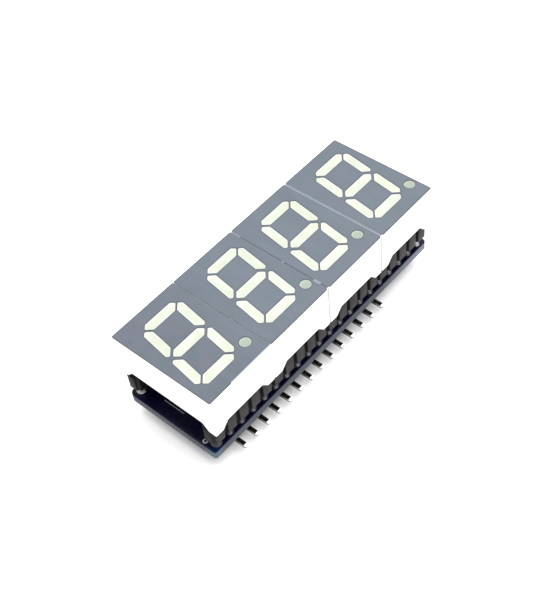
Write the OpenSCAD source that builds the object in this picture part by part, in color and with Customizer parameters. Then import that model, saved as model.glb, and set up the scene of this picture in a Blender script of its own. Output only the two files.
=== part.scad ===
// Four-digit seven segment display module.
// Four LED display modules stand side by side on two socket strips of turned contacts,
// which are soldered to a circuit board. A right-angle pin header under the board carries
// the signals and is what the assembly rests on.
// +X runs along the row in reading order, +Y is the top of the figures, +Z is up.
// The origin is on the supporting surface, under the middle of the row of modules.

/* [Display modules] */
// Distance from one module to the next
digit_pitch = 12.7; // [12.7:0.1:16]
// Spacing of the leads, of the contacts that take them and of the header's pins
grid = 2.54; // [2.1:0.02:2.54]
// Distance from a module's long faces in to its rows of leads
lead_inset = 1.88; // [1.8:0.02:2.2]
// Depth of a module, from the foot of its figure to the head
case_d = 19; // [15.8:0.1:23]
// Height of a module, from its feet to its face
case_h = 8; // [6.6:0.1:10]
// Gap between two neighbouring modules
case_gap = 0.1; // [0.05:0.01:0.3]
// Thickness of a module's outer walls
case_wall = 0.9; // [0.7:0.05:0.95]
// Radius of a module's upright corners, which leave a small notch at each end of a joint
case_r = 0.2; // [0.1:0.02:0.4]
// Height of the arches between a module's feet
arch_h = 1.25; // [0.8:0.05:1.6]
// Sideways run of an arch's sloping ends
arch_run = 1.1; // [0.5:0.05:1.5]
// Width of a foot, seen from the front
foot_w = 1.55; // [1.2:0.05:1.8]
// Depth of a foot, seen from the end of the row
foot_d = 1.45; // [1.2:0.05:1.8]
// Thickness of the grey layer printed on the face
mask_t = 0.1; // [0.05:0.01:0.2]

/* [Figures] */
// Height of a figure
figure_h = 14.3; // [11:0.1:14.6]
// Width of a figure before it is slanted
figure_w = 8; // [6.6:0.1:8.2]
// Slant of the figures in degrees
slant = 8; // [0:0.5:10]
// Width of the upright strokes
upright_t = 1.56; // [1.2:0.01:1.87]
// Width of the level strokes
level_t = 1.72; // [1.2:0.02:2]
// Gap between two strokes that meet at an outer corner
joint_gap = 0.28; // [0.2:0.02:0.4]
// Gap between the middle stroke and its neighbours
waist_gap = 0.44; // [0.3:0.02:0.6]
// Distance of the waist below the middle of the figure
waist_drop = 0.09; // [0:0.01:0.3]
// Distance along either side that the figure's outer corners are cut back
corner_cut = 1.46; // [1.2:0.02:1.6]
// Diameter of the decimal point
point_dia = 1.8; // [1.2:0.05:1.9]
// Gap between the decimal point and the figure
point_gap = 0.75; // [0.5:0.05:0.8]
// Shift of each figure from the middle of its module, to the left on odd modules
figure_shift = 0.25; // [0:0.05:0.3]

/* [Socket strips] */
// Height of a strip's moulded body
socket_h = 3; // [2.6:0.1:4]
// Width of a strip across its grooves
socket_w = 2.54; // [2.3:0.02:2.8]
// Height of the bare collars between the board and a strip
collar_h = 1.6; // [1:0.1:2.4]
// Diameter of a collar
collar_dia = 1.35; // [1.32:0.01:1.5]
// Width of the groove between two contacts, at its mouth
groove_w = 0.8; // [0.6:0.05:1]
// Depth of the groove between two contacts
groove_depth = 0.52; // [0.2:0.02:0.6]

/* [Circuit board] */
// Thickness of the circuit board
board_t = 1.6; // [0.8:0.1:2.4]
// How far the board's long edges stay back from the faces of the modules
board_setback = 0.75; // [0:0.05:1]
// How far the board's ends reach past the row of modules
board_overhang = 0.25; // [0:0.05:2]

/* [Header] */
// Height of the header's body, which is also its depth
header_h = 2.54; // [2.3:0.01:3.05]
// Gap between the header's body and the board
header_gap = 0.51; // [0.3:0.01:1]
// Side of a square header pin
pin_side = 0.64; // [0.5:0.02:0.7]
// Distance that the pins' tips stand out past the long faces of the modules
pin_reach = 0.4; // [0:0.1:6]
// Shift of the header from the middle of the row
header_x = -4; // [-7:0.1:7]

/* [Hidden] */
$fn = 40;
over = 0.5; // how far a cutter passes the surface that it opens

// Display modules
digit_count = 4;
leads_per_row = 5;
row_l = digit_count * digit_pitch;
case_w = digit_pitch - case_gap;
lead_dia = 0.5;
lead_tip_h = 0.25;
lead_tip_dia = 0.3;
pocket_r = 0.4;
arch_r = 0.3;
fill_recess = 0.1;
fill_t = 1.6;
lead_board_t = 0.8;
fill_z = arch_h + fill_recess;
lead_board_z = fill_z + fill_t;
pocket_h = lead_board_z + lead_board_t;
row_y = case_d / 2 - lead_inset;

// Figures
figure_rise = 0.05;
half_w = figure_w / 2;
half_h = figure_h / 2;
tip_inset = 0.45; // how far in from the side the uprights' ends at the waist are highest
tip_rise = 0.31; // how far above and below the waist those ends start
stroke_r = 0.22;
corner_steps = 3;
guide_h = 1.2;
guide_step = 0.16;
point_drop = 0.15;
die_side = 0.35;
die_h = 0.2;

// Levels above the supporting surface
board_z = header_h + header_gap;
board_top = board_z + board_t;
socket_z = board_top + collar_h;
case_z = socket_z + socket_h;

// Socket strips
contact_dia = 1.3;
bore_clearance = 0.05;
bore_dia = lead_dia + bore_clearance;
bore_depth = 2.2;
funnel_dia = 0.95;
funnel_h = 0.35;
lead_reach = 1.9;
groove_floor_w = 0.55;
tail_dia = 0.5;
tail_reach = 1.2;
tail_tip_dia = 0.34;
tail_tip_h = 0.15;
tail_hole = 0.8;
solder_dia = 1.5;
solder_h = 0.7;

// Circuit board
board_l = row_l + 2 * board_overhang;
board_w = case_d - 2 * board_setback;
board_r = 0.5;
worn_r = 0.9; // the rear left corner is rounder than the others
via_hole = 0.4;
via_inset = [0.7, 2.55]; // from the board's left and front edges

// Header
pin_count = 14;
header_l = pin_count * grid;
notch = 0.42;
pin_z = header_h / 2;
pin_tip = 0.35;
inner_bend_r = 0.3;
bend_r = inner_bend_r + pin_side / 2;
leg_offset = 1.5;
leg_y = header_h / 2 + leg_offset;
leg_rise = 0.9;
leg_top = board_top + leg_rise;
leg_hole = 1;
cone_shoulder_h = 0.5;
underside_solder_h = 0.23;

// Parts on the board
line_count = 8; // one for each stroke of a figure and one for the point
free_w = 2 * row_y - socket_w;
resistor_l = 2;
resistor_w = 1.25;
resistor_h = 0.5;
resistor_end = 0.4;
plating = 0.06;
part_gap = 0.3;
transistor_w = 2.9;
transistor_d = 1.3;
transistor_h = 0.95;
transistor_span = 2.4;
transistor_lift = 0.08;
lead_w = 0.42;
lead_t = 0.13;
lead_level = (transistor_h - lead_t) / 2;
lead_spread = 0.95;
draft = 0.08;
capacitor_l = 3.2;
capacitor_w = 1.6;
capacitor_h = 1.6;
strap_w = 1.2;
strap_t = 0.12;
strap_l = 0.75;
transistor_y = -free_w / 2 + part_gap + transistor_span / 2;
series_y = transistor_y + transistor_span / 2 + part_gap + resistor_l / 2;
base_y = leg_y - solder_dia / 2 - part_gap - resistor_w / 2;
capacitor_x = digit_x(digit_count) + (transistor_w + capacitor_w) / 2 + part_gap;

MODULE_PARTS = ["case", "mask", "light_guides", "dies", "lead_board", "backfill", "leads"];
BOARD_PARTS = [
    "front_socket", "front_contacts", "front_solder",
    "rear_socket", "rear_contacts", "rear_solder",
    "circuit_board", "header_body", "header_pins", "header_solder",
    "series_resistors", "series_resistor_ends", "base_resistors", "base_resistor_ends",
    "transistors", "transistor_leads", "capacitor", "capacitor_straps"
];

// ---- Places along the row ----

function digit_x(i) = (i - (digit_count + 1) / 2) * digit_pitch;
function figure_x(i) = (i % 2 == 1 ? -1 : 1) * figure_shift;
function lead_x(k) = (k - (leads_per_row - 1) / 2) * grid;
function contact_x(n) = digit_x(floor(n / leads_per_row) + 1) + lead_x(n % leads_per_row);
function leg_x(n) = header_x + (n + 0.5) * grid - header_l / 2;
contact_count = digit_count * leads_per_row;

// ---- Outlines with rounded corners ----

function unit(v) = v / norm(v);
function corner(points, i) =
    let (n = len(points), p = points[i])
    let (a = unit(points[(i + n - 1) % n] - p), b = unit(points[(i + 1) % n] - p))
    [p, a, b, acos(a * b) / 2];

// A convex outline moved inwards by a distance
function inset(points, distance) = [
    for (i = [0 : len(points) - 1])
        let (c = corner(points, i)) c[0] + unit(c[1] + c[2]) * distance / sin(c[3])
];

// An outline with every corner replaced by an arc
function rounded(points, radius, steps = corner_steps) = [
    for (i = [0 : len(points) - 1])
        let (c = corner(points, i))
        let (centre = c[0] + unit(c[1] + c[2]) * radius / sin(c[3]))
        let (from = c[0] + c[1] * radius / tan(c[3]) - centre)
        let (to = c[0] + c[2] * radius / tan(c[3]) - centre)
        let (sweep = 180 - 2 * c[3])
        for (s = [0 : steps])
            centre + (from * sin(sweep * (1 - s / steps)) + to * sin(sweep * s / steps)) / sin(sweep)
];

// ---- Strokes of a figure ----
// Before the slant, u runs to the right and v up from the figure's middle. Two strokes meet at
// an outer corner along a 45 degree line halfway between the frame's outer and inner corners,
// and one more 45 degree line trims that corner. At the waist, pointed ends face each other.

mitre = half_h - half_w - (level_t - upright_t) / 2;
mitre_half_gap = joint_gap / sqrt(2);
trim = half_w + half_h - corner_cut;

// Level stroke at the head (up = 1) or the foot (up = -1) of the figure
function end_stroke(up) =
    let (line = mitre + mitre_half_gap)
    [
        [-(trim - line) / 2, up * (trim + line) / 2],
        [line - half_h + level_t, up * (half_h - level_t)],
        [half_h - level_t - line, up * (half_h - level_t)],
        [(trim - line) / 2, up * (trim + line) / 2],
        [trim - half_h, up * half_h],
        [half_h - trim, up * half_h]
    ];

// Upright stroke on one side (-1 left, 1 right), above (up = 1) or below (up = -1) the waist
function side_stroke(side, up) =
    let (line = mitre - mitre_half_gap)
    [
        [side * (trim - line) / 2, up * (trim + line) / 2],
        [side * half_w, up * (trim - half_w)],
        [side * half_w, up * (tip_rise + tip_inset) - waist_drop],
        [side * (half_w - tip_inset), up * tip_rise - waist_drop],
        [side * (half_w - upright_t), up * (tip_rise + upright_t - tip_inset) - waist_drop],
        [side * (half_w - upright_t), up * (line + half_w - upright_t)]
    ];

// Level stroke at the waist, pointed at both ends
waist_tip = half_w - tip_inset + tip_rise - waist_gap * sqrt(2);
waist_stroke = [
    [-waist_tip, -waist_drop],
    [level_t / 2 - waist_tip, -level_t / 2 - waist_drop],
    [waist_tip - level_t / 2, -level_t / 2 - waist_drop],
    [waist_tip, -waist_drop],
    [waist_tip - level_t / 2, level_t / 2 - waist_drop],
    [level_t / 2 - waist_tip, level_t / 2 - waist_drop]
];

STROKES = [
    end_stroke(1), side_stroke(1, 1), side_stroke(1, -1), end_stroke(-1),
    side_stroke(-1, -1), side_stroke(-1, 1), waist_stroke
];

function slanted(points) = [for (p = points) [p.x + p.y * tan(slant), p.y]];
function sum_along(points, axis) = [for (p = points) p[axis]] * [for (p = points) 1];
function middle(points) = [sum_along(points, 0), sum_along(points, 1)] / len(points);
point_y = -half_h + point_dia / 2 - point_drop;
point_x = half_w + point_y * tan(slant) + point_gap + point_dia / 2;

// ---- Shared shapes ----

// A solid of revolution from a list of [radius, height] points
module turned(profile) {
    rotate_extrude() polygon(profile);
}

// What is trimmed off a square corner to round it
module corner_trim(radius) {
    translate([-radius, -radius]) difference() {
        square(radius + over);
        circle(r = radius);
    }
}

// A rectangle with an arc at every corner; radii holds [[rear right, front right], [rear left, front left]]
module plate_outline(size, radii) {
    difference() {
        square(size, center = true);
        for (left = [0, 1], front = [0, 1])
            mirror([left, 0]) mirror([0, front]) translate(size / 2) corner_trim(radii[left][front]);
    }
}

// Everything of one module is placed from the middle of its feet
module at_module(i) {
    translate([digit_x(i), 0, case_z]) children();
}

// One extruded stroke outline per stroke and a disc for the decimal point
module figure_blocks(i, shrink, height) {
    translate([figure_x(i), figure_rise, 0]) {
        for (stroke = STROKES)
            linear_extrude(height)
                polygon(rounded(inset(slanted(stroke), shrink), stroke_r - shrink));
        translate([point_x, point_y, 0])
            cylinder(d = point_dia - 2 * shrink, h = height);
    }
}

// The bottom of every light guide, one die each
module die_blocks(i) {
    translate([figure_x(i), figure_rise, pocket_h]) {
        for (stroke = STROKES)
            translate(concat(middle(slanted(stroke)), die_h / 2))
                cube([die_side, die_side, die_h], center = true);
        translate([point_x, point_y, die_h / 2])
            cube([die_side, die_side, die_h], center = true);
    }
}

module lead_rods(dia, from, to) {
    for (k = [0 : leads_per_row - 1], side = [-1, 1])
        translate([lead_x(k), side * row_y, from])
            cylinder(d = dia, h = to - from);
}

// ---- Display module ----

// Cross-section of the arch cut through the feet, half_span at the floor of the arch
module arch_section(half_span) {
    slope = arch_run / arch_h;
    polygon(rounded([
        [-half_span - slope * over, -over],
        [half_span + slope * over, -over],
        [half_span - arch_run, arch_h],
        [arch_run - half_span, arch_h]
    ], arch_r));
}

module pocket(height) {
    linear_extrude(height)
        plate_outline(
            [case_w - 2 * case_wall, case_d - 2 * case_wall],
            [[pocket_r, pocket_r], [pocket_r, pocket_r]]
        );
}

module case_block(height) {
    linear_extrude(height)
        plate_outline([case_w, case_d], [[case_r, case_r], [case_r, case_r]]);
}

// White reflector case: walls that end in four feet, a pocket below and a well for every stroke
module digit_case(i) {
    top = case_h - mask_t;
    color("white") at_module(i) difference() {
        case_block(top);
        rotate([90, 0, 0])
            linear_extrude(case_d + 2 * over, center = true)
                arch_section(case_w / 2 - foot_w);
        rotate([90, 0, 90])
            linear_extrude(case_w + 2 * over, center = true)
                arch_section(case_d / 2 - foot_d);
        translate([0, 0, -over]) pocket(pocket_h + over);
        translate([0, 0, pocket_h - over]) figure_blocks(i, guide_step, case_h - pocket_h);
        translate([0, 0, top - guide_h]) figure_blocks(i, 0, guide_h + over);
    }
}

// Grey layer on the face, open over every stroke
module digit_mask(i) {
    color("slategray") at_module(i) translate([0, 0, case_h - mask_t]) difference() {
        case_block(mask_t);
        translate([0, 0, -over]) figure_blocks(i, 0, mask_t + 2 * over);
    }
}

// Cast resin that fills the wells, with a die in the foot of each guide
module digit_light_guides(i) {
    top = case_h - mask_t;
    color("honeydew") at_module(i) difference() {
        union() {
            translate([0, 0, pocket_h]) figure_blocks(i, guide_step, top - guide_h - pocket_h);
            translate([0, 0, top - guide_h]) figure_blocks(i, 0, guide_h);
        }
        die_blocks(i);
    }
}

module digit_dies(i) {
    color("khaki") at_module(i) die_blocks(i);
}

// Board inside the module that carries the dies and holds the leads
module digit_lead_board(i) {
    color("darkgreen") at_module(i) difference() {
        translate([0, 0, lead_board_z]) pocket(lead_board_t);
        lead_rods(lead_dia, lead_board_z - over, pocket_h + over);
    }
}

// Cast resin that closes the pocket below the board
module digit_backfill(i) {
    color("ivory") at_module(i) difference() {
        translate([0, 0, fill_z]) pocket(fill_t);
        lead_rods(lead_dia, fill_z - over, lead_board_z + over);
    }
}

module digit_leads(i) {
    color("silver") at_module(i)
        for (k = [0 : leads_per_row - 1], side = [-1, 1])
            translate([lead_x(k), side * row_y, -lead_reach])
                turned([
                    [0, 0],
                    [lead_tip_dia / 2, 0],
                    [lead_dia / 2, lead_tip_h],
                    [lead_dia / 2, lead_reach + pocket_h],
                    [0, lead_reach + pocket_h]
                ]);
}

// ---- Socket strips ----

// Middle of the groove before contact n, or the end of the strip
function groove_x(n) =
    n == 0 ? -row_l / 2 : n == contact_count ? row_l / 2 : (contact_x(n - 1) + contact_x(n)) / 2;

// One long side of a strip: a steep groove between every two contacts and half of one at each end
function strip_side(side) =
    let (mouth_y = side * socket_w / 2, floor_y = side * (socket_w / 2 - groove_depth))
    [
        [groove_x(0), floor_y],
        for (n = [0 : contact_count - 1])
            for (p = [
                [groove_x(n) + groove_floor_w / 2, floor_y],
                [groove_x(n) + groove_w / 2, mouth_y],
                [groove_x(n + 1) - groove_w / 2, mouth_y],
                [groove_x(n + 1) - groove_floor_w / 2, floor_y]
            ])
                p,
        [groove_x(contact_count), floor_y]
    ];

function reversed(points) = [for (i = [len(points) - 1 : -1 : 0]) points[i]];

module socket(side) {
    color("dimgray") translate([0, side * row_y, socket_z]) difference() {
        linear_extrude(socket_h) polygon(concat(strip_side(-1), reversed(strip_side(1))));
        for (n = [0 : contact_count - 1])
            translate([contact_x(n), 0, -over])
                cylinder(d = contact_dia, h = socket_h + 2 * over);
    }
}

// Turned contact: a sleeve with a funnel for the lead, a collar on the board and a tail through it
module contact() {
    top = case_z;
    turned([
        [0, board_z - tail_reach],
        [tail_tip_dia / 2, board_z - tail_reach],
        [tail_dia / 2, board_z - tail_reach + tail_tip_h],
        [tail_dia / 2, board_top],
        [collar_dia / 2, board_top],
        [collar_dia / 2, socket_z],
        [contact_dia / 2, socket_z],
        [contact_dia / 2, top],
        [funnel_dia / 2, top],
        [bore_dia / 2, top - funnel_h],
        [bore_dia / 2, top - bore_depth],
        [0, top - bore_depth]
    ]);
}

module contacts(side) {
    color("lavender")
        for (n = [0 : contact_count - 1])
            translate([contact_x(n), side * row_y, 0]) contact();
}

// Solder that fills the plated hole and rises round the tail below the board
module tail_solder(side) {
    color("gainsboro")
        for (n = [0 : contact_count - 1])
            translate([contact_x(n), side * row_y, 0])
                turned([
                    [tail_dia / 2, board_top],
                    [tail_hole / 2, board_top],
                    [tail_hole / 2, board_z],
                    [solder_dia / 2, board_z],
                    [solder_dia / 4, board_z - solder_h / 2],
                    [tail_dia / 2, board_z - solder_h]
                ]);
}

module front_socket() { socket(-1); }
module rear_socket() { socket(1); }
module front_contacts() { contacts(-1); }
module rear_contacts() { contacts(1); }
module front_solder() { tail_solder(-1); }
module rear_solder() { tail_solder(1); }

// ---- Circuit board ----

module circuit_board() {
    color("midnightblue") translate([0, 0, board_z]) difference() {
        linear_extrude(board_t)
            plate_outline([board_l, board_w], [[board_r, board_r], [worn_r, board_r]]);
        for (n = [0 : contact_count - 1], side = [-1, 1])
            translate([contact_x(n), side * row_y, -over])
                cylinder(d = tail_hole, h = board_t + 2 * over);
        for (n = [0 : pin_count - 1])
            translate([leg_x(n), leg_y, -over])
                cylinder(d = leg_hole, h = board_t + 2 * over);
        translate([via_inset.x - board_l / 2, via_inset.y - board_w / 2, -over])
            cylinder(d = via_hole, h = board_t + 2 * over);
    }
}

// ---- Header ----

// Section of the body along the row, notched above and below between every two pins
function header_side(z, inward) = [
    for (n = [0 : pin_count - 1])
        let (left = leg_x(n) - grid / 2, right = leg_x(n) + grid / 2)
        for (p = [[left, z + inward * notch], [left + notch, z], [right - notch, z]])
            p,
    [header_x + header_l / 2, z + inward * notch]
];

module header_body() {
    color("black") difference() {
        rotate([90, 0, 0])
            linear_extrude(header_h, center = true)
                polygon(concat(header_side(0, 1), reversed(header_side(header_h, -1))));
        for (n = [0 : pin_count - 1])
            translate([leg_x(n), 0, pin_z])
                cube([pin_side, header_h + 2 * over, pin_side], center = true);
    }
}

// Outline of a pin's straight run with its tapered tip, from above or from the side
module pin_outline(length) {
    half = pin_side / 2;
    polygon([
        [-half / 2, 0],
        [half / 2, 0],
        [half, pin_tip],
        [half, length],
        [-half, length],
        [-half, pin_tip]
    ]);
}

// Right-angle pin: a straight run with a tapered tip, a bend and a leg up through the board
module header_pin() {
    tip_y = -case_d / 2 - pin_reach;
    run = leg_y - bend_r - tip_y;
    translate([0, tip_y, pin_z]) intersection() {
        linear_extrude(pin_side, center = true) pin_outline(run);
        rotate([0, 90, 0]) linear_extrude(pin_side, center = true) pin_outline(run);
    }
    translate([0, leg_y - bend_r, pin_z + bend_r])
        rotate([0, 90, 0])
            rotate_extrude(angle = 90)
                translate([bend_r, 0]) square(pin_side, center = true);
    translate([0, leg_y, (pin_z + bend_r + leg_top) / 2])
        cube([pin_side, pin_side, leg_top - pin_z - bend_r], center = true);
}

module header_pins() {
    color("silver")
        for (n = [0 : pin_count - 1])
            translate([leg_x(n), 0, 0]) header_pin();
}

// Solder round each leg: a cone on the board, the filled hole and a low fillet below it
module header_solder() {
    color("gainsboro")
        for (n = [0 : pin_count - 1])
            translate([leg_x(n), leg_y, 0]) difference() {
                turned([
                    [0, board_top + solder_h],
                    [solder_dia / 4, board_top + cone_shoulder_h],
                    [solder_dia / 2, board_top],
                    [leg_hole / 2, board_top],
                    [leg_hole / 2, board_z],
                    [solder_dia / 2, board_z],
                    [leg_hole / 2, board_z - underside_solder_h],
                    [0, board_z - underside_solder_h]
                ]);
                translate([0, 0, board_z])
                    cube([pin_side, pin_side, 2 * leg_top], center = true);
            }
}

// ---- Parts on the board ----

// Ceramic core of a chip resistor that lies along X
module chip_core(width = resistor_w) {
    translate([0, 0, resistor_h / 2])
        cube([resistor_l - 2 * plating, width, resistor_h - 2 * plating], center = true);
}

// Plated ends that wrap over a chip resistor's core
module chip_ends() {
    difference() {
        for (side = [-1, 1])
            translate([side * (resistor_l - resistor_end) / 2, 0, resistor_h / 2])
                cube([resistor_end, resistor_w, resistor_h], center = true);
        chip_core(resistor_w + 2 * over);
    }
}

// One series resistor for each signal line
module at_series_resistors() {
    for (k = [0 : line_count - 1])
        translate([(k - (line_count - 1) / 2) * grid, series_y, board_top]) rotate(90) children();
}

// One base resistor beside each digit's transistor
module at_base_resistors() {
    for (i = [1 : digit_count])
        translate([digit_x(i), base_y, board_top]) children();
}

module at_transistors() {
    for (i = [1 : digit_count])
        translate([digit_x(i), transistor_y, board_top]) children();
}

module series_resistors() {
    color("black") at_series_resistors() chip_core();
}

module series_resistor_ends() {
    color("silver") at_series_resistors() chip_ends();
}

module base_resistors() {
    color("black") at_base_resistors() chip_core();
}

module base_resistor_ends() {
    color("silver") at_base_resistors() chip_ends();
}

// Moulded body of a three-lead transistor, narrower above and below the level of its leads
module transistors() {
    half = transistor_d / 2;
    color("black") at_transistors()
        rotate([90, 0, 90])
            linear_extrude(transistor_w, center = true)
                polygon([
                    [draft - half, transistor_lift],
                    [half - draft, transistor_lift],
                    [half, lead_level],
                    [half, lead_level + lead_t],
                    [half - draft, transistor_h],
                    [draft - half, transistor_h],
                    [-half, lead_level + lead_t],
                    [-half, lead_level]
                ]);
}

// Gull-wing lead that leaves the body at half height and ends flat on the board
module gull_lead() {
    root = transistor_d / 2;
    tip = transistor_span / 2;
    knee = root + lead_t;
    rotate([90, 0, 90])
        linear_extrude(lead_w, center = true)
            polygon([
                [root, lead_level],
                [knee, lead_level],
                [knee, 0],
                [tip, 0],
                [tip, lead_t],
                [knee + lead_t, lead_t],
                [knee + lead_t, lead_level + lead_t],
                [root, lead_level + lead_t]
            ]);
}

module transistor_leads() {
    color("silver") at_transistors() {
        for (side = [-1, 1])
            translate([side * lead_spread, 0, 0]) gull_lead();
        rotate(180) gull_lead();
    }
}

// Moulded tantalum capacitor that lies along Y at the right end of the board
module at_capacitor() {
    translate([capacitor_x, 0, board_top]) rotate(90) children();
}

module capacitor() {
    color("goldenrod") at_capacitor()
        translate([0, 0, (capacitor_h + strap_t) / 2])
            cube([capacitor_l - 2 * strap_t, capacitor_w, capacitor_h - strap_t], center = true);
}

// Terminal straps folded down the ends and under the body
module capacitor_straps() {
    color("silver") at_capacitor()
        for (side = [-1, 1])
            translate([side * capacitor_l / 2, 0, 0])
                mirror([(side + 1) / 2, 0, 0])
                    rotate([90, 0, 0])
                        linear_extrude(strap_w, center = true)
                            polygon([
                                [0, 0],
                                [strap_l, 0],
                                [strap_l, strap_t],
                                [strap_t, strap_t],
                                [strap_t, capacitor_h / 2],
                                [0, capacitor_h / 2]
                            ]);
}

for (i = [1 : digit_count]) {
    digit_case(i);
    digit_mask(i);
    digit_light_guides(i);
    digit_dies(i);
    digit_lead_board(i);
    digit_backfill(i);
    digit_leads(i);
}
front_socket();
front_contacts();
front_solder();
rear_socket();
rear_contacts();
rear_solder();
circuit_board();
header_body();
header_pins();
header_solder();
series_resistors();
series_resistor_ends();
base_resistors();
base_resistor_ends();
transistors();
transistor_leads();
capacitor();
capacitor_straps();
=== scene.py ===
"""Finishes, small details, light and camera of a four-digit seven segment display module.

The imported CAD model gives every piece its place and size. Each class below looks after one
sub-assembly: it reads the sizes that it needs from the frame, models what the CAD model leaves
out, and dresses its pieces in procedural finishes. Lengths are in metres, and the finishes work
in millimetres on Object coordinates.
"""

import logging
import math
from dataclasses import dataclass, field
from enum import Enum
from typing import Any, Optional, Sequence, Union

import bmesh
import bpy
from mathutils import Matrix, Vector

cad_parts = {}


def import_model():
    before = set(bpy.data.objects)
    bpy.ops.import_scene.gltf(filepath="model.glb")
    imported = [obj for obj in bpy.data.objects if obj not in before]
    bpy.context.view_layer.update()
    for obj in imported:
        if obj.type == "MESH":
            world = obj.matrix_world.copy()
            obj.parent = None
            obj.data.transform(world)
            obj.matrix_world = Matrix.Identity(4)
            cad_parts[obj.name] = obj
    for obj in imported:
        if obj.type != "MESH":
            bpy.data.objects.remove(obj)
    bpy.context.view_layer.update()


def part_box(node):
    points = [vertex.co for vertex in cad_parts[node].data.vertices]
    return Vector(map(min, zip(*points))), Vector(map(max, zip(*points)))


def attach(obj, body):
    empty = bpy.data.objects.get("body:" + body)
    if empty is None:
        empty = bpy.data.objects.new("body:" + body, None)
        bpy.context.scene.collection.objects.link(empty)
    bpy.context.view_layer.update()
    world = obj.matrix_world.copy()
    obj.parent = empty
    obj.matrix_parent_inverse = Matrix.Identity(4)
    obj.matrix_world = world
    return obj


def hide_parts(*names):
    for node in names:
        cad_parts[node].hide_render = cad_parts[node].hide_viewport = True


LOG = logging.getLogger("display_module")
MM = 0.001
DIGITS = (1, 2, 3, 4)
LEADS_PER_ROW = 5
PIN_SIDE = 0.64 * MM
CAD_WELD = 0.002 * MM  # corners of a CAD mesh that are closer than this are the same one
NEW_WELD = 0.001 * MM
FLAT = math.radians(1.5)  # faces that turn less than this are one flat face
LEVEL = 0.01 * MM
UPWARDS = 0.99
RING_STEPS = 24
SORT_ALONG = Vector((1, math.sqrt(2), math.sqrt(3)))  # a slant along which no two places tie
RIM = "rim"  # attribute that is 1 at the edge of a stroke's opening and falls away from it
POINT = "point"  # attribute that is 1 on the decimal point
Colour = tuple[float, float, float]
Pair = tuple[float, float]
Value = Union["Number", float]
Paint = Union[Colour, bpy.types.NodeSocket]
Materials = dict[str, bpy.types.Material]


# ---- Shader graphs ----


class Number:
    """A number that varies over a surface, and adds Math nodes as it is combined."""

    def __init__(self, graph: "Graph", socket: bpy.types.NodeSocket) -> None:
        """Wrap an output socket of a graph."""
        self.graph = graph
        self.socket = socket

    def _math(self, operation: str, *values: Value) -> "Number":
        """Add a Math node.

        Args:
            operation: The node's operation.
            values: The values of its inputs, in order.

        Returns:
            The node's result.
        """
        node = self.graph.node(
            "ShaderNodeMath", {"operation": operation}, dict(enumerate(values))
        )
        return Number(self.graph, node.outputs[0])

    def __add__(self, other: Value) -> "Number":
        """Return self + other."""
        return self._math("ADD", self, other)

    def __radd__(self, other: Value) -> "Number":
        """Return other + self."""
        return self._math("ADD", other, self)

    def __sub__(self, other: Value) -> "Number":
        """Return self - other."""
        return self._math("SUBTRACT", self, other)

    def __rsub__(self, other: Value) -> "Number":
        """Return other - self."""
        return self._math("SUBTRACT", other, self)

    def __mul__(self, other: Value) -> "Number":
        """Return self * other."""
        return self._math("MULTIPLY", self, other)

    def __rmul__(self, other: Value) -> "Number":
        """Return other * self."""
        return self._math("MULTIPLY", other, self)

    def __truediv__(self, other: Value) -> "Number":
        """Return self / other."""
        return self._math("DIVIDE", self, other)

    def __rtruediv__(self, other: Value) -> "Number":
        """Return other / self."""
        return self._math("DIVIDE", other, self)

    def __abs__(self) -> "Number":
        """Return the size of self."""
        return self._math("ABSOLUTE", self)

    def least(self, other: Value) -> "Number":
        """Return the smaller of two numbers."""
        return self._math("MINIMUM", self, other)

    def most(self, other: Value) -> "Number":
        """Return the larger of two numbers."""
        return self._math("MAXIMUM", self, other)

    def ramp(self, start: float, end: float) -> "Number":
        """Rise smoothly from 0 at start to 1 at end, and stay level outside them.

        Args:
            start: Where the result is 0.
            end: Where the result is 1, which may be the smaller of the two.

        Returns:
            The result, from 0 to 1.
        """
        low, high, first, last = (start, end, 0.0, 1.0) if start < end else (end, start, 1.0, 0.0)
        node = self.graph.node(
            "ShaderNodeMapRange",
            {"interpolation_type": "SMOOTHSTEP"},
            {"Value": self, "From Min": low, "From Max": high, "To Min": first, "To Max": last},
        )
        return Number(self.graph, node.outputs[0])

    def band(self, middle: float, half_width: float, soft: float) -> "Number":
        """Return 1 within half_width of middle, and 0 from soft beyond that."""
        return abs(self - middle).ramp(half_width + soft, half_width)

    def to_nearest(self, first: float, pitch: float) -> "Number":
        """Return the distance to the nearest of a row of places, of which one is at first."""
        return self._math("PINGPONG", self - first, pitch / 2)

    def to_either(self, first: float, second: float) -> "Number":
        """Return the distance to the nearer of two places."""
        return abs(self - first).least(abs(self - second))


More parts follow.
